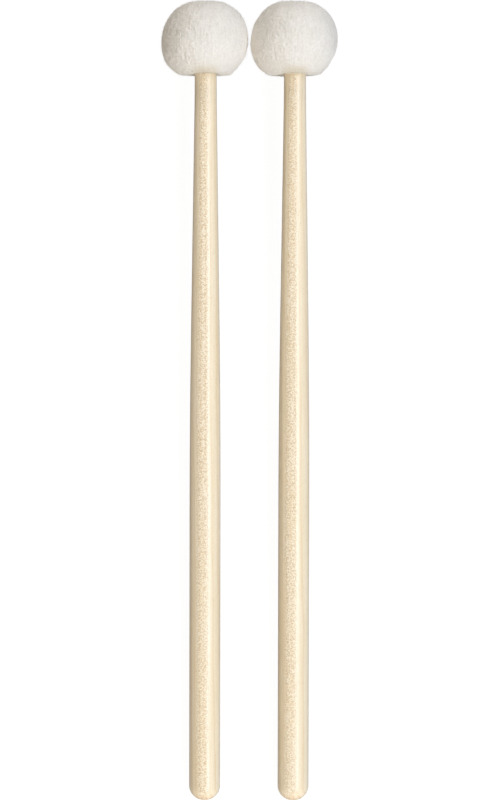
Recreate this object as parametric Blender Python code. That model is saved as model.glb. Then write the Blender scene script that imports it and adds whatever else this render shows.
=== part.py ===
"""A pair of felt-headed mallets with turned maple handles, lying side by side on a flat surface.

Each mallet is built about its own axis, with its butt end at height 0 and its head on top.
It then lies down along +Y, resting on the belly of its head and on the edge of its butt.
"""

import math

import bmesh
import bpy

# The handle, in metres. Heights along a mallet start at its butt end.
OVERALL_LENGTH = 0.3683
GRIP_DIAMETER = 0.01425
GRIP_LENGTH = 0.135
GRIP_EASE = 0.086  # the parallel grip eases into the cone over this length
NECK_DIAMETER = 0.01005
NECK_EASE = 0.028  # the cone eases into the neck over this length
BUTT_DOME_HEIGHT = 0.0067
SHOULDER_WIDTH = 0.001  # the step from the neck in to the tenon
TENON_LENGTH = 0.013
TENON_CHAMFER = 0.0006

# The head. Its widest ring is the level that its own heights start at.
HEAD_DIAMETER = 0.0397
CROWN_HEIGHT = 0.019
BALL_DEPTH = 0.0181  # the depth at which the ball would close, if it weren't drawn in
BALL_FULLNESS = 2.15  # 2 is an ellipse, and a larger value is squarer
MOUTH_LIP_WIDTH = 0.007  # from the neck out to where the ball turns under
TURN_UNDER_RADIUS = 0.002
DIMPLE_DEPTH = 0.0011  # how far the felt is drawn up round the neck
COVER_THICKNESS = 0.0035
UNDERFELT_THICKNESS = 0.003
THREAD_DIAMETER = 0.0008

# The fit of touching pieces, and the space between the two heads.
FIT_GAP = 0.0003
HEADS_APART = 0.0012

# How finely each outline is turned and divided.
OUTER_SIDES = 36
INNER_SIDES = 24
THREAD_SIDES = 8
CROWN_RINGS = 9
FLANK_RINGS = 7
TURN_UNDER_RINGS = 4
DIMPLE_RINGS = 4
DOME_RINGS = 6
GRIP_RINGS = 5
TAPER_RINGS = 16
MERGE_DISTANCE = 0.000001
TILT_HALVINGS = 40
SHARP_ANGLE = math.radians(35)

# What follows from the sizes above.
GRIP_RADIUS = GRIP_DIAMETER / 2
NECK_RADIUS = NECK_DIAMETER / 2
TENON_RADIUS = NECK_RADIUS - SHOULDER_WIDTH
THREAD_RADIUS = THREAD_DIAMETER / 2
MOUTH_RADIUS = NECK_RADIUS + FIT_GAP
HEAD_LEVEL = OVERALL_LENGTH - CROWN_HEIGHT
UNDERFELT_INSET = COVER_THICKNESS + FIT_GAP
CORE_INSET = UNDERFELT_INSET + UNDERFELT_THICKNESS + FIT_GAP


def clear_scene():
    for item in list(bpy.data.objects):
        bpy.data.objects.remove(item, do_unlink=True)


def finish(name, colour, roughness):
    """A plain surface with one colour and no metal in it."""
    material = bpy.data.materials.new(name)
    material.use_nodes = True
    shader = material.node_tree.nodes["Principled BSDF"]
    shader.inputs["Base Color"].default_value = (*colour, 1.0)
    shader.inputs["Roughness"].default_value = roughness
    shader.inputs["Metallic"].default_value = 0.0
    material.diffuse_color = (*colour, 1.0)
    return material


def turned(name, outline, sides, material, ring=False):
    """Turn an outline of (radius, height) points about Z into one closed solid.

    The outline starts and ends on the axis, or is a ring that closes on itself.
    """
    shape = bmesh.new()
    points = [shape.verts.new((radius, 0.0, height)) for radius, height in outline]
    following = points[1:] + points[:1] if ring else points[1:]
    edges = [shape.edges.new(pair) for pair in zip(points, following)]
    bmesh.ops.spin(
        shape, geom=points + edges, cent=(0.0, 0.0, 0.0), axis=(0.0, 0.0, 1.0), angle=math.tau, steps=sides
    )
    bmesh.ops.remove_doubles(shape, verts=shape.verts, dist=MERGE_DISTANCE)
    bmesh.ops.recalc_face_normals(shape, faces=shape.faces)
    mesh = bpy.data.meshes.new(name)
    shape.to_mesh(mesh)
    shape.free()
    mesh.shade_smooth()
    mesh.set_sharp_from_angle(angle=SHARP_ANGLE)
    mesh.materials.append(material)
    piece = bpy.data.objects.new(name, mesh)
    bpy.context.collection.objects.link(piece)
    return piece


def arc(centre, radii, start, end, steps):
    """Points on an ellipse round a centre, from one angle to another, with both ends."""
    angles = [start + (end - start) * step / steps for step in range(steps + 1)]
    return [
        (centre[0] + radii[0] * math.cos(angle), centre[1] + radii[1] * math.sin(angle)) for angle in angles
    ]


def eased_ramp(distance, half_ease):
    """0 before a corner and the distance after it, with a parabola across the corner."""
    if distance <= -half_ease:
        return 0.0
    if distance >= half_ease:
        return distance
    return (distance + half_ease) ** 2 / (4 * half_ease)


def ball_point(inset, angle):
    """A point of the head's ball, shrunk by inset: angle 0 is the widest ring, and a quarter turn the crown."""
    half_width = HEAD_DIAMETER / 2 - inset
    half_height = (CROWN_HEIGHT if angle > 0 else BALL_DEPTH) - inset
    power = 2 / BALL_FULLNESS
    height = half_height * abs(math.sin(angle)) ** power
    return half_width * abs(math.cos(angle)) ** power, math.copysign(height, angle)


def ball_outline(inset, lowest_angle):
    """The ball from its crown down to an angle below the widest ring."""
    top = math.pi / 2
    crown = [ball_point(inset, top * (1 - ring / CROWN_RINGS)) for ring in range(1, CROWN_RINGS + 1)]
    flank = [ball_point(inset, lowest_angle * ring / FLANK_RINGS) for ring in range(1, FLANK_RINGS + 1)]
    return [(0.0, CROWN_HEIGHT - inset)] + crown + flank


def turn_under():
    """The angle at which the ball turns under, and the arc from there to its lowest ring."""
    half_width = HEAD_DIAMETER / 2
    start_radius = NECK_RADIUS + MOUTH_LIP_WIDTH
    angle = -math.acos((start_radius / half_width) ** (BALL_FULLNESS / 2))
    start = ball_point(0.0, angle)
    steepness = 2 - 2 / BALL_FULLNESS
    outward = math.cos(angle) ** steepness / half_width
    downward = abs(math.sin(angle)) ** steepness / BALL_DEPTH
    slope = math.atan2(-downward, outward)
    centre = (
        start[0] - TURN_UNDER_RADIUS * math.cos(slope),
        start[1] - TURN_UNDER_RADIUS * math.sin(slope),
    )
    radii = (TURN_UNDER_RADIUS, TURN_UNDER_RADIUS)
    return angle, arc(centre, radii, slope, -math.pi / 2, TURN_UNDER_RINGS)


def flat_ended_ball(inset):
    """A ball inside the cover, cut flat at its underside as far from the lowest ring as its sides are."""
    depth = UNDERSIDE_DEPTH - inset
    lowest_angle = -math.asin((depth / (BALL_DEPTH - inset)) ** (BALL_FULLNESS / 2))
    return ball_outline(inset, lowest_angle)


TURN_UNDER_ANGLE, TURN_UNDER_ARC = turn_under()
UNDERSIDE_DEPTH = -TURN_UNDER_ARC[-1][1]
CORE_SEAT = CORE_INSET - UNDERSIDE_DEPTH
SHOULDER_HEIGHT = HEAD_LEVEL + CORE_SEAT - FIT_GAP


def shaft_radius(height):
    """The handle's radius: a parallel grip and a cone, eased into each other and into the neck."""
    cone_start = GRIP_LENGTH + GRIP_EASE / 2
    cone_end = SHOULDER_HEIGHT - NECK_EASE / 2
    slope = (GRIP_RADIUS - NECK_RADIUS) / (cone_end - cone_start)
    drop = eased_ramp(height - cone_start, GRIP_EASE / 2) - eased_ramp(height - cone_end, NECK_EASE / 2)
    return GRIP_RADIUS - slope * drop


def shaft_outline():
    """Butt dome, grip, cone, neck, shoulder and chamfered tenon, from the butt end up."""
    dome = arc((0.0, BUTT_DOME_HEIGHT), (GRIP_RADIUS, BUTT_DOME_HEIGHT), -math.pi / 2, 0.0, DOME_RINGS)
    dome[0] = (0.0, 0.0)
    grip_span = GRIP_LENGTH - BUTT_DOME_HEIGHT
    grip = [(GRIP_RADIUS, BUTT_DOME_HEIGHT + grip_span * ring / GRIP_RINGS) for ring in range(1, GRIP_RINGS + 1)]
    taper_span = SHOULDER_HEIGHT - GRIP_LENGTH
    heights = [GRIP_LENGTH + taper_span * ring / TAPER_RINGS for ring in range(1, TAPER_RINGS + 1)]
    taper = [(shaft_radius(height), height) for height in heights]
    tenon_end = SHOULDER_HEIGHT + TENON_LENGTH
    tenon = [
        (TENON_RADIUS, SHOULDER_HEIGHT),
        (TENON_RADIUS, tenon_end - TENON_CHAMFER),
        (TENON_RADIUS - TENON_CHAMFER, tenon_end),
        (0.0, tenon_end),
    ]
    return dome + grip + taper + tenon


def core_outline():
    """A ball with a flat seat for the shoulder and a blind bore for the tenon."""
    bore_radius = TENON_RADIUS + FIT_GAP
    bore_end = CORE_SEAT + TENON_LENGTH
    return flat_ended_ball(CORE_INSET) + [(bore_radius, CORE_SEAT), (bore_radius, bore_end), (0.0, bore_end)]


def underfelt_outline():
    """A felt layer between cover and core, open round the neck, with a rebate for the draw thread."""
    underside = UNDERFELT_INSET - UNDERSIDE_DEPTH
    rebate_radius = MOUTH_RADIUS + THREAD_DIAMETER + FIT_GAP
    rebate_top = underside + THREAD_DIAMETER + FIT_GAP
    inside = flat_ended_ball(CORE_INSET - FIT_GAP)
    mouth = [
        (rebate_radius, underside),
        (rebate_radius, rebate_top),
        (MOUTH_RADIUS, rebate_top),
        (MOUTH_RADIUS, inside[-1][1]),
    ]
    return flat_ended_ball(UNDERFELT_INSET) + mouth + inside[::-1]


def cover_outline():
    """The outer felt: a ball that turns under, rolls up round the neck and lines the underfelt."""
    outside = ball_outline(0.0, TURN_UNDER_ANGLE) + TURN_UNDER_ARC[1:]
    lowest = outside[-1]
    lip_centre = (lowest[0], lowest[1] + DIMPLE_DEPTH)
    lip_radii = (lowest[0] - MOUTH_RADIUS, DIMPLE_DEPTH)
    lip = arc(lip_centre, lip_radii, -math.pi / 2, -math.pi, DIMPLE_RINGS)[1:]
    inside = flat_ended_ball(COVER_THICKNESS)
    return outside + lip + [(MOUTH_RADIUS, inside[-1][1])] + inside[::-1]


def thread_outline():
    """The round section of the thread, lying clear of the neck by the fit gap."""
    centre = (NECK_RADIUS + FIT_GAP + THREAD_RADIUS, 0.0)
    return arc(centre, (THREAD_RADIUS, THREAD_RADIUS), 0.0, math.tau, THREAD_SIDES)[:-1]


def resting_pose(shaft, head):
    """The tilt that lets head and butt touch the ground together, and the height of the butt's centre."""

    def reach_down(outline, tilt):
        return max(radius * math.cos(tilt) - height * math.sin(tilt) for radius, height in outline)

    low, high = 0.0, math.pi / 4
    for _ in range(TILT_HALVINGS):
        tilt = (low + high) / 2
        if reach_down(head, tilt) > reach_down(shaft, tilt):
            low = tilt
        else:
            high = tilt
    return high, reach_down(shaft, high)


def middle_along(outline, tilt):
    """The middle of a tilted mallet's extent along the ground, from the centre of its butt end."""
    back = min(height * math.cos(tilt) - radius * math.sin(tilt) for radius, height in outline)
    front = max(height * math.cos(tilt) + radius * math.sin(tilt) for radius, height in outline)
    return (back + front) / 2


def build_mallet(side, across, finishes):
    """One mallet under its own empty, lying on the ground with its axis over the line x = across."""
    shaft_points = shaft_outline()
    cover_points = cover_outline()
    thread_level = COVER_THICKNESS - UNDERSIDE_DEPTH + FIT_GAP + THREAD_RADIUS
    shaft = turned(f"{side}_shaft", shaft_points, OUTER_SIDES, finishes["maple"])
    core = turned(f"{side}_core", core_outline(), INNER_SIDES, finishes["core_wood"])
    underfelt = turned(f"{side}_underfelt", underfelt_outline(), INNER_SIDES, finishes["underfelt"])
    cover = turned(f"{side}_cover", cover_points, OUTER_SIDES, finishes["cover_felt"])
    thread = turned(f"{side}_draw_thread", thread_outline(), INNER_SIDES, finishes["thread"], ring=True)
    for piece in (core, underfelt, cover):
        piece.location.z = HEAD_LEVEL
    thread.location.z = HEAD_LEVEL + thread_level

    head_points = [(radius, height + HEAD_LEVEL) for radius, height in cover_points]
    tilt, butt_height = resting_pose(shaft_points, head_points)
    mallet = bpy.data.objects.new(f"{side}_mallet", None)
    bpy.context.collection.objects.link(mallet)
    mallet.location = (across, -middle_along(shaft_points + head_points, tilt), butt_height)
    mallet.rotation_euler = (tilt - math.pi / 2, 0.0, 0.0)
    for piece in (shaft, core, underfelt, cover, thread):
        piece.parent = mallet


def build_pair():
    finishes = {
        "maple": finish("maple", (0.80, 0.64, 0.43), 0.35),
        "core_wood": finish("core_wood", (0.62, 0.44, 0.27), 0.6),
        "underfelt": finish("underfelt", (0.62, 0.60, 0.55), 0.95),
        "cover_felt": finish("cover_felt", (0.80, 0.78, 0.73), 0.95),
        "thread": finish("thread", (0.72, 0.66, 0.52), 0.7),
    }
    from_middle = (HEAD_DIAMETER + HEADS_APART) / 2
    build_mallet("left", -from_middle, finishes)
    build_mallet("right", from_middle, finishes)


clear_scene()
build_pair()
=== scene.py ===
import math
import random

import bpy
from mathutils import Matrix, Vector


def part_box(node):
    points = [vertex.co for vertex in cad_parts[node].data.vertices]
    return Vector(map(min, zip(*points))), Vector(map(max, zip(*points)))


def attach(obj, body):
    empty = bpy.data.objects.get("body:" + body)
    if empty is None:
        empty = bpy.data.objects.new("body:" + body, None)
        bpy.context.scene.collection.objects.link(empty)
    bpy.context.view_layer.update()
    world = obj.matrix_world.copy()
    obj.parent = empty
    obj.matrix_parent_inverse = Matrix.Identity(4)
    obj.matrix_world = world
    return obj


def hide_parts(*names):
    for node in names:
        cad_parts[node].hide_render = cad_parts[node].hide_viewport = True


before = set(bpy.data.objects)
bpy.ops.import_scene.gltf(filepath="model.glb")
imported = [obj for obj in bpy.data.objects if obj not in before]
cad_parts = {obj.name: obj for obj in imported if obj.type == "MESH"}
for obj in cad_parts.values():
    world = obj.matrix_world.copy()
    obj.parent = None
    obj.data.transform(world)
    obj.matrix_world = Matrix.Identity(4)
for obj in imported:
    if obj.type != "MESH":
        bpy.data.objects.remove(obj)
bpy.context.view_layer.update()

# The handles. Each is one piece of straight-grained hard maple, turned on a lathe: a domed butt,
# a parallel grip, a long cone eased at both ends, and a slim neck that ends in a tenon for the
# head's core. It is sanded and sealed with a thin satin lacquer that keeps the wood's pale colour.
SIDES = ("left", "right")
GRIP_RADIUS = 0.007125
GRIP_LENGTH = 0.135
GRIP_EASE = 0.086
NECK_RADIUS = 0.005025
NECK_EASE = 0.028
BUTT_DOME_HEIGHT = 0.0067
BUTT_CENTRE_HEIGHT = 0.006871
TENON_RADIUS = 0.004025
TENON_LENGTH = 0.013
TENON_CHAMFER = 0.0006
SHOULDER_HEIGHT = 0.34087
HANDLE_SIDES = 96
DOME_RINGS = 14
GRIP_RINGS = 24
TAPER_RINGS = 60
POLE_RADIUS = 0.0002
CREASE_ANGLE = math.radians(30)


def resting_line(side):
    """The centre of a mallet's butt end, and the tilt at which its axis rises towards the head."""
    low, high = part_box(f"{side}_draw_thread")
    mouth = (Vector(low) + Vector(high)) / 2
    butt = Vector((mouth.x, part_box(f"{side}_shaft")[0][1], BUTT_CENTRE_HEIGHT))
    return butt, math.atan2(mouth.z - butt.z, mouth.y - butt.y)


def pull_rings(name, rings, sides):
    """A closed solid pulled up from a small disc. Each ring is (radius, height, sideways)."""
    radius, height, sideways = rings[0]
    bpy.ops.object.select_all(action="DESELECT")
    bpy.ops.mesh.primitive_circle_add(
        vertices=sides, radius=radius, fill_type="TRIFAN", location=(sideways, 0.0, height)
    )
    piece = bpy.context.object
    piece.name = name
    bpy.ops.object.mode_set(mode="EDIT")
    for next_radius, next_height, next_sideways in rings[1:]:
        step = (next_sideways - sideways, 0.0, next_height - height)
        bpy.ops.mesh.extrude_region_move(TRANSFORM_OT_translate={"value": step})
        scale = next_radius / radius
        bpy.ops.transform.resize(
            value=(scale, scale, 1.0), center_override=(next_sideways, 0.0, next_height)
        )
        radius, height, sideways = next_radius, next_height, next_sideways
    bpy.ops.mesh.select_all(action="SELECT")
    bpy.ops.mesh.normals_make_consistent(inside=False)
    bpy.ops.object.mode_set(mode="OBJECT")
    bpy.ops.object.transform_apply(location=True, rotation=True, scale=True)
    return piece


def lay_down(piece, side):
    """Turns an upright piece onto its mallet's resting line, and keeps that place in its mesh."""
    butt, tilt = resting_line(side)
    bpy.ops.object.select_all(action="DESELECT")
    piece.select_set(True)
    bpy.context.view_layer.objects.active = piece
    piece.location = butt
    piece.rotation_euler = (tilt - math.pi / 2, 0.0, 0.0)
    bpy.ops.object.transform_apply(location=True, rotation=True, scale=True)


def eased_ramp(distance, half_ease):
    """0 before a corner and the distance after it, with a parabola across the corner."""
    if distance <= -half_ease:
        return 0.0
    if distance >= half_ease:
        return distance
    return (distance + half_ease) ** 2 / (4 * half_ease)


def handle_radius(height):
    """The radius of the grip, the cone and the neck at a height above the butt end."""
    cone_start = GRIP_LENGTH + GRIP_EASE / 2
    cone_end = SHOULDER_HEIGHT - NECK_EASE / 2
    slope = (GRIP_RADIUS - NECK_RADIUS) / (cone_end - cone_start)
    before_neck = eased_ramp(height - cone_start, GRIP_EASE / 2)
    past_neck = eased_ramp(height - cone_end, NECK_EASE / 2)
    return GRIP_RADIUS - slope * (before_neck - past_neck)


def handle_rings():
    """The handle's rings from the butt's tip to the tenon's end."""
    rings = [(POLE_RADIUS, 0.0, 0.0)]
    for ring in range(1, DOME_RINGS + 1):
        angle = math.pi / 2 * ring / DOME_RINGS
        height = BUTT_DOME_HEIGHT * (1 - math.cos(angle))
        rings.append((GRIP_RADIUS * math.sin(angle), height, 0.0))
    for ring in range(1, GRIP_RINGS + 1):
        height = BUTT_DOME_HEIGHT + (GRIP_LENGTH - BUTT_DOME_HEIGHT) * ring / GRIP_RINGS
        rings.append((GRIP_RADIUS, height, 0.0))
    for ring in range(1, TAPER_RINGS + 1):
        height = GRIP_LENGTH + (SHOULDER_HEIGHT - GRIP_LENGTH) * ring / TAPER_RINGS
        rings.append((handle_radius(height), height, 0.0))
    tenon_end = SHOULDER_HEIGHT + TENON_LENGTH
    rings.append((TENON_RADIUS, SHOULDER_HEIGHT, 0.0))
    rings.append((TENON_RADIUS, tenon_end - TENON_CHAMFER, 0.0))
    rings.append((TENON_RADIUS - TENON_CHAMFER, tenon_end, 0.0))
    return rings


class Wire:
    """A socket in a material. Sums on it add Math nodes, and node() adds any other kind."""

    def __init__(self, tree, socket=None):
        self.tree = tree
        self.socket = socket

    def node(self, kind, settings=None, sockets=None, output=0):
        """Adds a node: its settings first, then the value or the link of each socket."""
        made = self.tree.nodes.new(kind)
        for key, value in (settings or {}).items():
            setattr(made, key, value)
        for key, value in (sockets or {}).items():
            if isinstance(value, Wire):
                self.tree.links.new(value.socket, made.inputs[key])
            else:
                made.inputs[key].default_value = value
        return Wire(self.tree, made.outputs[output])

    def maths(self, operation, *others):
        """A Math node over this wire, and then the others."""
        values = dict(enumerate((self, *others)))
        return self.node("ShaderNodeMath", {"operation": operation}, values)

    def __add__(self, other):
        return self.maths("ADD", other)

    __radd__ = __add__

    def __sub__(self, other):
        return self.maths("SUBTRACT", other)

    def __rsub__(self, other):
        return self.maths("MULTIPLY_ADD", -1.0, other)

    def __mul__(self, other):
        return self.maths("MULTIPLY", other)

    __rmul__ = __mul__

    def __truediv__(self, other):
        return self.maths("DIVIDE", other)

    def __pow__(self, other):
        return self.maths("POWER", other)

    def __abs__(self):
        return self.maths("ABSOLUTE")

    def within(self, low, high):
        """0 below low and 1 above high, with a smooth rise between them."""
        settings = {"interpolation_type": "SMOOTHSTEP"}
        sockets = {"Value": self, "From Min": low, "From Max": high}
        return self.node("ShaderNodeMapRange", settings, sockets)

    def part(self, axis):
        """One coordinate of a vector."""
        return self.node("ShaderNodeSeparateXYZ", None, {0: self}, axis)

    def stretched(self, x, y, z):
        """A vector with each coordinate multiplied."""
        sockets = {0: self, 1: (x, y, z)}
        return self.node("ShaderNodeVectorMath", {"operation": "MULTIPLY"}, sockets)

    def outward(self):
        """The direction of a place from the upright axis, level and one unit long."""
        level = self.stretched(1.0, 1.0, 0.0)
        return self.node("ShaderNodeVectorMath", {"operation": "NORMALIZE"}, {0: level})

    def noise(self, scale=1.0, detail=2.0, roughness=0.5, distortion=0.0):
        """Soft noise read at a vector, from 0 to 1."""
        sockets = {
            "Vector": self,
            "Scale": scale,
            "Detail": detail,
            "Roughness": roughness,
            "Distortion": distortion,
        }
        return self.node("ShaderNodeTexNoise", None, sockets)

    def mix(self, first, second):
        """Two colours mixed by this factor."""
        return self.node("ShaderNodeMix", {"data_type": "RGBA"}, {0: self, 6: first, 7: second}, 2)


def tone(red, green, blue):
    """A colour written as it looks, 0 to 255, turned into the light it reflects."""
    light = []
    for channel in (red, green, blue):
        share = channel / 255
        light.append(share / 12.92 if share <= 0.04045 else ((share + 0.055) / 1.055) ** 2.4)
    return (*light, 1.0)


def new_finish(name, side):
    """An empty material, its Principled shader, and a wire of places in a mallet's upright frame."""
    finish = bpy.data.materials.new(name)
    finish.use_nodes = True
    start = Wire(finish.node_tree)
    butt, tilt = resting_line(side)
    upright = start.node(
        "ShaderNodeMapping",
        {"vector_type": "TEXTURE"},
        {
            "Vector": start.node("ShaderNodeTexCoord", output=3),
            "Location": butt,
            "Rotation": (tilt - math.pi / 2, 0.0, 0.0),
        },
    )
    return finish, finish.node_tree.nodes["Principled BSDF"], upright


def join(shader, socket, wire):
    """Links a wire to a socket of a shader."""
    wire.tree.links.new(wire.socket, shader.inputs[socket])


def relief(height, distance, strength=1.0):
    """A bump whose height wire, from 0 to 1, stands for a distance in metres."""
    sockets = {"Height": height, "Distance": distance, "Strength": strength}
    return height.node("ShaderNodeBump", None, sockets)


PALE_WOOD = tone(248, 235, 208)
WARM_WOOD = tone(244, 227, 192)
LATE_WOOD = tone(226, 192, 143)
FIBRE_SHADE = tone(228, 201, 158)
RAY_SHADE = tone(207, 180, 142)
DASH_SHADE = tone(205, 177, 138)
RAY_SHINE = tone(252, 244, 226)
PORE_SHADE = tone(200, 168, 122)
# The butt's end grain is darker, and the same colour paints the shade where the dome turns away from the
# light.
BUTT_GRAIN_AND_SHADE = tone(214, 166, 112)
YEAR_WIDTH = 0.0021
PITH_LEAN = 0.011
SIDE_LEAN = 0.006
GRAIN_WANDER = 0.0042
BUTT_GRAIN_AND_SHADE_HEIGHTS = (0.0004, 0.0042)
QUARTER_FACE_RANGE = (0.86, 0.975)


def maple_finish(side, turn, pith_distance, ring_shift):
    """Lacquered hard maple: growth rings, fine fibre, short ray flecks, a satin coat, and a butt
    darkened by end grain and painted shade.
    """
    finish, shader, upright = new_finish(f"{side}_lacquered_maple", side)
    turned = {
        "Vector": upright,
        "Location": (0.0, 0.0, ring_shift),
        "Rotation": (0.0, 0.0, turn),
    }
    wood_place = upright.node("ShaderNodeMapping", None, turned)
    radial, tangential, height = wood_place.part(0), wood_place.part(1), upright.part(2)

    drift = wood_place.stretched(60.0, 60.0, 9.0).noise(detail=3.0)
    from_pith = radial + height * PITH_LEAN + (drift - 0.5) * GRAIN_WANDER + pith_distance
    across = tangential + height * SIDE_LEAN
    ring_radius = (from_pith * from_pith + across * across) ** 0.5
    year = (ring_radius / YEAR_WIDTH + ring_shift).maths("FRACT")
    late = year.within(0.55, 0.95) * (1.0 - year.within(0.95, 1.0))
    # Darker towards the butt's tip: end grain, and painted shade where the dome turns away.
    butt_grain_and_shade = 1.0 - height.within(*BUTT_GRAIN_AND_SHADE_HEIGHTS)
    quarter_face = abs(wood_place.outward().part(1)).within(*QUARTER_FACE_RANGE)

    fibre = wood_place.stretched(5200.0, 5200.0, 210.0).noise(detail=3.0, roughness=0.55)
    streak = wood_place.stretched(900.0, 900.0, 26.0).noise(detail=3.0)
    ray = wood_place.stretched(1400.0, 2800.0, 1900.0).noise(detail=1.0, roughness=0.4)
    small_ray = wood_place.stretched(2600.0, 2600.0, 1700.0).noise(detail=0.0)
    pore = wood_place.stretched(3800.0, 3800.0, 700.0).noise(detail=0.0).within(0.70, 0.80)
    cloud = wood_place.stretched(110.0, 110.0, 22.0).noise()
    dark_ray = ray.within(0.50, 0.60) * quarter_face
    pale_ray = (1.0 - ray.within(0.36, 0.46)) * quarter_face
    dash = small_ray.within(0.56, 0.7) * (0.25 + 0.75 * quarter_face)

    wood = (0.35 * cloud + 0.65 * streak).within(0.3, 0.7).mix(PALE_WOOD, WARM_WOOD)
    wood = (late * 0.34).mix(wood, LATE_WOOD)
    wood = (fibre.within(0.45, 0.8) * 0.3).mix(wood, FIBRE_SHADE)
    wood = (dark_ray * 0.54).mix(wood, RAY_SHADE)
    wood = (dash * 0.46).mix(wood, DASH_SHADE)
    wood = (pale_ray * 0.62).mix(wood, RAY_SHINE)
    wood = (pore * 0.3).mix(wood, PORE_SHADE)
    wood = (butt_grain_and_shade * (0.25 + 0.4 * late)).mix(wood, BUTT_GRAIN_AND_SHADE)
    join(shader, "Base Color", wood)
    join(shader, "Roughness", 0.45 + 0.12 * streak)
    surface = fibre * 0.5 + dark_ray * -0.3 + pore * -0.4 + 0.5
    join(shader, "Normal", relief(surface, 0.00003, 0.4))
    shader.inputs["Specular IOR Level"].default_value = 0.3
    shader.inputs["Coat Weight"].default_value = 1.0
    shader.inputs["Coat Roughness"].default_value = 0.25
    return finish


MAPLE_TURN = {"left": math.radians(9), "right": math.radians(13)}
PITH_DISTANCE = {"left": 0.052, "right": 0.047}
RING_SHIFT = {"left": 0.2, "right": 0.65}
for side in SIDES:
    handle = pull_rings(f"{side}_handle", handle_rings(), HANDLE_SIDES)
    lay_down(handle, side)
    bpy.ops.object.shade_smooth_by_angle(angle=CREASE_ANGLE)
    handle.data.materials.append(
        maple_finish(side, MAPLE_TURN[side], PITH_DISTANCE[side], RING_SHIFT[side])
    )
    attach(handle, "root")
    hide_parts(f"{side}_shaft")

# The cores. Each is a turned hardwood ball inside the head, bored for the handle's tenon and glued
# to it. Its grain runs along the handle, and the wood is left bare, so that the glue holds.
CORE_PALE = tone(206, 176, 136)
CORE_WARM = tone(178, 142, 100)
CORE_FIBRE = tone(150, 112, 74)


def core_finish(side):
    """Bare turned hardwood, a little darker than the handle, with fine tool rings."""
    finish, shader, upright = new_finish(f"{side}_bare_hardwood", side)
    grain = upright.stretched(420.0, 420.0, 40.0).noise(detail=4.0, roughness=0.55)
    fibre = upright.stretched(4200.0, 4200.0, 260.0).noise(detail=2.0)
    tool = (upright.part(2) * 9000.0).maths("SINE")
    wood = grain.within(0.3, 0.7).mix(CORE_PALE, CORE_WARM)
    wood = (fibre.within(0.5, 0.8) * 0.5).mix(wood, CORE_FIBRE)
    join(shader, "Base Color", wood)
    join(shader, "Roughness", 0.62 + 0.16 * grain)
    join(shader, "Normal", relief(fibre * 0.7 + tool * 0.15, 0.00004, 0.6))
    return finish


for side in SIDES:
    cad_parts[f"{side}_core"].data.materials[0] = core_finish(side)

# The underfelts. Each is a softer, greyer felt between core and cover, moulded over the core and
# spot-glued to it, which gives the stroke its cushion.
UNDERFELT_WOOL = (tone(214, 210, 200), tone(196, 192, 180), tone(150, 146, 134))
UNDERFELT_LOFT = 0.0003
# Painted shade on the felt: grey low on the head, and beige in a band as wide as the neck just above the
# mouth.
PAINTED_SHADE_GREY = tone(190, 185, 173)
PAINTED_SHADE_BEIGE = tone(204, 188, 150)
NECK_SIDES = (0.003, 0.0072)
GREY_START = (0.3332, 0.3346)
GREY_END = (0.335, 0.342)
BEIGE_END = (0.335, 0.3385)
COMB_START = 0.014
COMB_ROUND = 18.0
COMB_ALONG = 160.0


def fibre_web(place, scale, sharpness, distortion=0.6):
    """Thin curling lines, where a warped noise crosses its middle value."""
    level = place.noise(scale, detail=1.5, roughness=0.55, distortion=distortion)
    return (1.0 - abs(level * 2.0 - 1.0)) ** sharpness


def felt_finish(name, side, pale, shaded, dark_fibre, loft):
    """Matted wool with crossing, curling fibres and no gloss, with painted shade low on the head and
    round the neck.
    """
    finish, shader, upright = new_finish(name, side)
    across, up, along = (upright.part(axis) for axis in range(3))
    cloud = upright.noise(150.0, detail=3.0, roughness=0.55)
    tuft = upright.noise(620.0, detail=2.0, roughness=0.45, distortion=0.4)
    long_fibres = fibre_web(upright, 520.0, 9.0, 1.1)
    crossing = fibre_web(upright.stretched(1.0, 1.3, 0.8), 900.0, 8.0, 0.8)
    short_fibres = fibre_web(upright, 1700.0, 6.0)
    fuzz = upright.noise(4200.0, detail=2.0, roughness=0.6)
    speck = upright.noise(1250.0, detail=1.0)
    reach = ((across * across + up * up) ** 0.5).maths("MAXIMUM", COMB_START)
    lengthwise = {0: across / reach * COMB_ROUND, 1: up / reach * COMB_ROUND, 2: along * COMB_ALONG}
    combed = upright.node("ShaderNodeCombineXYZ", None, lengthwise)
    combed = combed.noise(detail=1.0, roughness=0.4, distortion=0.3)

    web = 0.45 * long_fibres + 0.35 * crossing + 0.2 * short_fibres
    wool = (0.5 * cloud + 0.5 * tuft).within(0.36, 0.64).mix(shaded, pale)
    wool = (fuzz.within(0.55, 0.8) * 0.25).mix(wool, dark_fibre)
    wool = (tuft.within(0.58, 0.72) * (1.0 - web) * 0.35).mix(wool, dark_fibre)
    dips = speck.within(0.47, 0.62) * 0.26 + combed.within(0.48, 0.64) * 0.15
    wool = dips.mix(wool, dark_fibre)
    wool = (web * 0.45).mix(wool, pale)
    # Painted shade: the felt is greyed low down on the head, and tinted beige in a band the neck's width
    # above the mouth, warmed as by light thrown back from the wooden neck.
    by_neck = 1.0 - abs(across).within(*NECK_SIDES)
    painted_low_shade = along.within(*GREY_START) * (1.0 - along.within(*GREY_END))
    painted_neck_shade = by_neck * (1.0 - along.within(*BEIGE_END))
    wool = (painted_low_shade * 0.12).mix(wool, PAINTED_SHADE_GREY)
    wool = (painted_neck_shade * 0.44).mix(wool, PAINTED_SHADE_BEIGE)
    join(shader, "Base Color", wool)
    join(shader, "Normal", relief(0.55 * tuft + 0.4 * combed + 0.1 * web + 0.12 * fuzz, loft))
    shader.inputs["Roughness"].default_value = 1.0
    shader.inputs["Sheen Weight"].default_value = 0.3
    shader.inputs["Sheen Roughness"].default_value = 0.5
    shader.inputs["Specular IOR Level"].default_value = 0.12
    return finish


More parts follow.
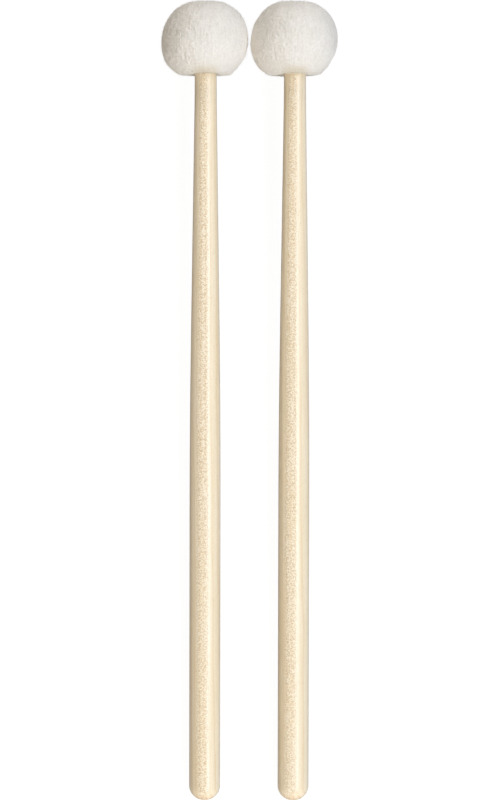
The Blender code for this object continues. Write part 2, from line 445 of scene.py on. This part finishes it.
for side in SIDES:
    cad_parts[f"{side}_underfelt"].data.materials[0] = felt_finish(
        f"{side}_underfelt_wool", side, *UNDERFELT_WOOL, UNDERFELT_LOFT
    )

# The draw threads. Each is one turn of waxed thread round the neck, in a rebate of the underfelt.
# It pulls the cover's edge tight, and the cover hides it.
LINEN_DEEP = tone(176, 160, 128)
LINEN_PALE = tone(222, 210, 182)
LINEN_FLUFF = tone(150, 132, 100)


def thread_finish(side):
    """Waxed linen thread: two plies that wind round each other, and a dull shine."""
    finish, shader, upright = new_finish(f"{side}_waxed_thread", side)
    turn = upright.part(1).maths("ARCTAN2", upright.part(0))
    height = upright.part(2)
    ply = (turn * 36.0 + height * 5200.0).maths("SINE")
    fluff = upright.noise(5200.0, detail=2.0)
    linen = (ply * 0.5 + 0.5).mix(LINEN_DEEP, LINEN_PALE)
    linen = (fluff.within(0.5, 0.8) * 0.4).mix(linen, LINEN_FLUFF)
    join(shader, "Base Color", linen)
    join(shader, "Roughness", 0.5 + 0.2 * fluff)
    join(shader, "Normal", relief(ply * 0.5 + 0.5, 0.00012, 0.8))
    return finish


for side in SIDES:
    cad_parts[f"{side}_draw_thread"].data.materials[0] = thread_finish(side)

# The covers. Each is a seamless outer felt of off-white wool, moulded over the underfelt as a
# flattened ball, a little fuller on one side, and drawn in round the neck in small gathers. Its
# surface is uneven, and short loose ends of wool stand out all over it.
COVER_WOOL = (tone(243, 238, 229), tone(236, 231, 220), tone(206, 200, 186))
COVER_LOFT = 0.001
COVER_SEED = {"left": 3, "right": 8}
HEAD_LEVEL = 0.3493
OUTLINE = (
    (0, 0.01815), (8, 0.01830), (16, 0.01876), (24, 0.01942), (32, 0.01978), (40, 0.02000),
    (48, 0.02012), (56, 0.02008), (64, 0.02001), (72, 0.02000), (80, 0.01994), (88, 0.01985),
    (96, 0.01984), (104, 0.01980), (112, 0.01976), (120, 0.01969), (128, 0.01950), (138, 0.01913),
)
LEAN = (
    (0, 0.0), (60, 0.0001), (92, 0.0005), (110, 0.0008),
    (121, 0.00112), (130, 0.0010), (138, 0.0007),
)
TURN_UNDER_RADIUS = 0.003
DIMPLE_DEPTH = 0.0003
MOUTH_RADIUS = 0.005325
INSIDE_RADIUS = 0.01635
INSIDE_CROWN = 0.0152
INSIDE_CROWN_FULLNESS = 2.28
INSIDE_DEPTH = 0.0144
INSIDE_DEPTH_FULLNESS = 2.11
INSIDE_FLOOR = 0.01173
RING_NUDGE = 0.01
LUMPS = (
    ("broad_lumps", 0.009, 1, 0.0005),
    ("small_lumps", 0.0028, 2, 0.00034),
    ("matted_wool", 0.0009, 2, 0.00032),
)
LUMP_SHIFT = (0.13, 0.07, 0.11)
SKIN_RADIUS = 0.0174
SKIN_BOTTOM = -0.013
MOUTH_MARGIN = 0.0004
MOUTH_EASE = 0.003
GATHER_COUNTS = (11, 17, 23)
GATHER_SHARES = (0.6, 1.0)
GATHER_RADIUS = 0.0078
GATHER_REACH = 0.0034
GATHER_TOP = -0.012
GATHER_HEIGHT = 0.00012
NAP_COUNT = 6000
NAP_STEPS = 3
NAP_LENGTH = (0.0006, 0.0016)
NAP_RADIUS = 0.00002
NAP_TAPER = 0.6
NAP_ROOT = 4
NAP_LIFT = 0.75
NAP_CURL = 0.28
NAP_SETTLE = 0.22
NAP_NECK_LIMIT = -0.88
NAP_TABLE_LIMIT = -0.88
NAP_CATCH = 0.021
COVER_SIDES = 240
OUTLINE_RINGS = 122
TURN_UNDER_RINGS = 10
LIP_RINGS = 14
INSIDE_RINGS = 18


def read_smoothly(table, place):
    """The value at a place, on a smooth curve through a table of places and values."""
    before = [index for index, (start, _) in enumerate(table[:-1]) if start <= place][-1]
    (start, low), (end, high) = table[before], table[before + 1]
    earlier_place, earlier = table[before - 1] if before else (2 * start - end, high)
    later_place, later = table[before + 2] if before + 2 < len(table) else (2 * end - start, high)
    leaving = (high - earlier) / (end - earlier_place) * (end - start)
    arriving = (later - low) / (later_place - start) * (end - start)
    share = (place - start) / (end - start)
    curve = low * (1 + 2 * share) + leaving * share
    return curve * (1 - share) ** 2 + (high * (3 - 2 * share) - arriving * (1 - share)) * share**2


def outline_ring(angle):
    """A ring of the head's outside. The angle is in degrees from the crown, seen from the middle."""
    reach = read_smoothly(OUTLINE, angle)
    turned = math.radians(angle)
    return reach * math.sin(turned), reach * math.cos(turned), -read_smoothly(LEAN, angle)


def inside_ring(angle):
    """A ring of the cover's inside: angle 0 is the widest ring, and a quarter turn the crown."""
    if angle > 0:
        half_height, power = INSIDE_CROWN, 2 / INSIDE_CROWN_FULLNESS
    else:
        half_height, power = INSIDE_DEPTH, 2 / INSIDE_DEPTH_FULLNESS
    height = math.copysign(half_height * abs(math.sin(angle)) ** power, angle)
    return INSIDE_RADIUS * abs(math.cos(angle)) ** power, height, 0.0


def cover_rings():
    """The cover's rings: over the crown, down the flank, under, up the lip, and back inside."""
    quarter = math.pi / 2
    last_angle = OUTLINE[-1][0]
    rings = [(POLE_RADIUS, OUTLINE[0][1], 0.0)]
    for ring in range(1, OUTLINE_RINGS + 1):
        rings.append(outline_ring(last_angle * ring / OUTLINE_RINGS))
    start_radius, start_height, start_lean = rings[-1]
    slope = math.atan2(start_radius - rings[-2][0], rings[-2][1] - start_height)
    centre = start_radius - TURN_UNDER_RADIUS * math.cos(slope)
    middle = start_height - TURN_UNDER_RADIUS * math.sin(slope)
    for ring in range(1, TURN_UNDER_RINGS + 1):
        angle = slope + (-quarter - slope) * ring / TURN_UNDER_RINGS
        radius = centre + TURN_UNDER_RADIUS * math.cos(angle)
        rings.append((radius, middle + TURN_UNDER_RADIUS * math.sin(angle), start_lean))
    lip_start, lowest, lean = rings[-1]
    for ring in range(1, LIP_RINGS + 1):
        angle = quarter * ring / LIP_RINGS
        radius = lip_start - (lip_start - MOUTH_RADIUS) * math.sin(angle)
        share = (radius - MOUTH_RADIUS) / (lip_start - MOUTH_RADIUS)
        rings.append((radius, lowest + DIMPLE_DEPTH * (1 - math.cos(angle)), lean * share))
    inside_angle = -math.asin((INSIDE_FLOOR / INSIDE_DEPTH) ** (INSIDE_DEPTH_FULLNESS / 2))
    rings.append((MOUTH_RADIUS, -INSIDE_FLOOR, 0.0))
    for ring in range(INSIDE_RINGS):
        rings.append(inside_ring(inside_angle * (1 - ring / INSIDE_RINGS)))
    for ring in range(INSIDE_RINGS):
        rings.append(inside_ring(quarter * (ring + RING_NUDGE) / INSIDE_RINGS))
    rings.append((POLE_RADIUS, INSIDE_CROWN, 0.0))
    return [(radius, HEAD_LEVEL + height, sideways) for radius, height, sideways in rings]


def swell(piece, name, size, depth, group, amount, seed):
    """Raises and sinks the felt's outside by soft noise of a size, and applies it."""
    clouds = bpy.data.textures.new(name, type="CLOUDS")
    clouds.noise_scale = size
    clouds.noise_depth = depth
    helper = bpy.data.objects.new(f"{name}_place", None)
    bpy.context.collection.objects.link(helper)
    helper.location = [seed * shift for shift in LUMP_SHIFT]
    bpy.context.view_layer.update()
    swelling = piece.modifiers.new(name, "DISPLACE")
    swelling.texture = clouds
    swelling.texture_coords = "OBJECT"
    swelling.texture_coords_object = helper
    swelling.vertex_group = group
    swelling.mid_level = 0.5
    swelling.strength = amount
    bpy.ops.object.modifier_apply(modifier=name)
    bpy.data.objects.remove(helper)


def gather(piece, seed):
    """Folds the felt unevenly round the mouth, and marks its outside for swelling."""
    draw = random.Random(seed)
    waves = []
    for count in GATHER_COUNTS:
        waves.append((count, draw.uniform(0.0, math.tau), draw.uniform(*GATHER_SHARES)))
    outside = piece.vertex_groups.new(name="outside")
    for vertex in piece.data.vertices:
        height = vertex.co.z - HEAD_LEVEL
        around = math.hypot(vertex.co.x, vertex.co.y)
        past_mouth = (around - MOUTH_RADIUS - MOUTH_MARGIN) / MOUTH_EASE
        clear_of_mouth = min(1.0, max(0.0, past_mouth))
        outer = 1.0 if math.hypot(around, height) > SKIN_RADIUS or height < SKIN_BOTTOM else 0.0
        share = outer * (clear_of_mouth if height < 0 else 1.0)
        if share > 0:
            outside.add([vertex.index], share, "REPLACE")
        fold = 0.0
        if height < GATHER_TOP:
            fold = outer * max(0.0, 1 - abs(around - GATHER_RADIUS) / GATHER_REACH)
        if fold > 0:
            angle = math.atan2(vertex.co.y, vertex.co.x)
            wave = sum(size * math.sin(count * angle + start) for count, start, size in waves)
            vertex.co.z += GATHER_HEIGHT * fold * fold * (3 - 2 * fold) * wave


def any_way(draw):
    """A random arrow, as likely to point one way as another."""
    return Vector((draw.gauss(0, 1), draw.gauss(0, 1), draw.gauss(0, 1)))


def raise_nap(name, cover, side, seed):
    """Short loose ends of wool on the cover's outside, clear of the neck and of the table."""
    draw = random.Random(seed)
    butt, tilt = resting_line(side)
    along = Vector((0.0, math.cos(tilt), math.sin(tilt)))
    middle = butt + along * HEAD_LEVEL
    wool = bpy.data.curves.new(name, "CURVE")
    wool.dimensions = "3D"
    wool.bevel_depth = NAP_RADIUS
    wool.bevel_resolution = 0
    wool.use_fill_caps = True
    while len(wool.splines) < NAP_COUNT:
        outward = any_way(draw).normalized()
        if outward.dot(along) < NAP_NECK_LIMIT or outward.z < NAP_TABLE_LIMIT:
            continue
        root = cover.closest_point_on_mesh(middle + outward * NAP_CATCH)[1]
        heading = (any_way(draw).normalized() + outward * NAP_LIFT).normalized()
        place = root - outward * NAP_RADIUS * NAP_ROOT
        step = draw.uniform(*NAP_LENGTH) / NAP_STEPS
        fibre = wool.splines.new("POLY")
        fibre.points.add(NAP_STEPS)
        for index, point in enumerate(fibre.points):
            point.co = (*place, 1.0)
            point.radius = 1.0 - NAP_TAPER * index / NAP_STEPS
            heading = (heading + any_way(draw) * NAP_CURL - outward * NAP_SETTLE).normalized()
            place = place + heading * step
    nap = bpy.data.objects.new(name, wool)
    bpy.context.collection.objects.link(nap)
    bpy.ops.object.select_all(action="DESELECT")
    nap.select_set(True)
    bpy.context.view_layer.objects.active = nap
    bpy.ops.object.convert(target="MESH")
    nap = bpy.context.object
    nap.data.materials.append(cover.data.materials[0])
    return nap


for side in SIDES:
    cover = pull_rings(f"{side}_felt_cover", cover_rings(), COVER_SIDES)
    gather(cover, COVER_SEED[side])
    for step, (name, size, depth, amount) in enumerate(LUMPS):
        swell(cover, name, size, depth, "outside", amount, COVER_SEED[side] + step)
    lay_down(cover, side)
    bpy.ops.object.shade_smooth()
    cover.data.materials.append(felt_finish(f"{side}_cover_wool", side, *COVER_WOOL, COVER_LOFT))
    nap = raise_nap(f"{side}_nap", cover, side, COVER_SEED[side])
    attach(cover, "root")
    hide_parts(f"{side}_cover")
    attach(nap, "root")

# The table. The pair lies on a plain white surface, which the camera sees as white, and which is a
# plain grey for the light that it throws back at the mallets.
TABLE_SIZE = 8.0
TABLE_DROP = 0.0002
TABLE_GLOW = 0.94
TABLE_SHADOW = (0.11, 0.11, 0.11, 1.0)
TABLE_GREY = (0.35, 0.35, 0.35, 1.0)


def table_finish():
    """Glowing white with a soft shadow for the camera, and grey for every other ray."""
    finish = bpy.data.materials.new("white_table")
    finish.use_nodes = True
    finish.node_tree.nodes.remove(finish.node_tree.nodes["Principled BSDF"])
    start = Wire(finish.node_tree)
    camera_ray = start.node("ShaderNodeLightPath")
    grey = start.node("ShaderNodeBsdfDiffuse", None, {"Color": TABLE_GREY})
    glow = start.node("ShaderNodeEmission", None, {"Strength": TABLE_GLOW})
    shadow = start.node("ShaderNodeBsdfDiffuse", None, {"Color": TABLE_SHADOW})
    bright = start.node("ShaderNodeAddShader", None, {0: glow, 1: shadow})
    surface = start.node("ShaderNodeMixShader", None, {0: camera_ray, 1: grey, 2: bright})
    end = finish.node_tree.nodes["Material Output"]
    start.tree.links.new(surface.socket, end.inputs["Surface"])
    return finish


bpy.ops.object.select_all(action="DESELECT")
bpy.ops.mesh.primitive_plane_add(size=TABLE_SIZE, location=(0.0, 0.0, -TABLE_DROP))
table = bpy.context.object
table.name = "table"
table.data.materials.append(table_finish())

# The light. A long softbox a little to the right draws the stripe along the lacquer, and a weaker
# one hangs on the left. Five lower sheets, at the left, the butts and the heads, brighten the felt
# and the ends, and no gloss mirrors them. The white room is there for the camera alone.
SHEET_DISTANCE = 2.0


def softbox(name, level_size, slope_size, across, along, brightness, colour, mirrored=True):
    """A sheet of light, leant to the right and then to the heads. At 1 it is as bright as white."""
    across, along = math.radians(across), math.radians(along)
    light = bpy.data.lights.new(name, "AREA")
    light.shape = "RECTANGLE"
    light.size = level_size
    light.size_y = slope_size
    light.color = colour
    light.energy = brightness * math.pi * level_size * slope_size
    side = math.cos(along)
    towards = Vector((math.sin(across) * side, math.sin(along), math.cos(across) * side))
    sheet = bpy.data.objects.new(name, light)
    sheet.location = towards * SHEET_DISTANCE
    sheet.rotation_euler = towards.to_track_quat("Z", "Y").to_euler()
    sheet.visible_camera = False
    sheet.visible_glossy = mirrored
    bpy.context.collection.objects.link(sheet)


softbox("right_softbox", 2.9, 0.78, 28, -3, 4.48, (0.93, 1, 1.15))
softbox("top_left_fill", 2.9, 0.9, -20, -3, 0.96, (1.13, 1, 0.8))
softbox("low_left_fill", 2.9, 0.45, -85, 0, 0.45, (1.35, 1, 0.62), False)
softbox("foot_left_fill", 1.3, 0.64, -40, -33, 0.85, (1.12, 1, 0.8), False)
softbox("foot_right_fill", 1.3, 0.64, 40, -33, 1.85, (1.01, 1, 0.98), False)
softbox("foot_fill", 2.4, 0.7, 0, -77, 4.9, (1.03, 1, 0.98), False)
softbox("head_fill", 2.9, 0.9, 0, 64, 2.55, (1.03, 1, 0.97), False)

room = bpy.data.worlds.new("white_room")
room.use_nodes = True
air = Wire(room.node_tree)
camera_ray = air.node("ShaderNodeLightPath")
backdrop = room.node_tree.nodes["Background"]
backdrop.inputs["Color"].default_value = (1.0, 1.0, 1.0, 1.0)
room.node_tree.links.new(camera_ray.socket, backdrop.inputs["Strength"])
bpy.context.scene.world = room
bpy.context.scene.view_settings.view_transform = "Standard"

# The camera. It looks straight down on the pair through a long lens, which fits their length to
# the picture's height, and it is turned by a hair, as in the photograph.
CAMERA_PLACE = (0.00016, 0.001, 1.25)
CAMERA_TURN = math.radians(0.127)
CAMERA_LENS = 120.9
CAMERA_SENSOR = 36.0
camera_data = bpy.data.cameras.new("overhead_camera")
camera_data.sensor_width = CAMERA_SENSOR
camera_data.lens = CAMERA_LENS
camera = bpy.data.objects.new("overhead_camera", camera_data)
camera.location = CAMERA_PLACE
camera.rotation_euler = (0.0, 0.0, CAMERA_TURN)
bpy.context.collection.objects.link(camera)
bpy.context.scene.camera = camera
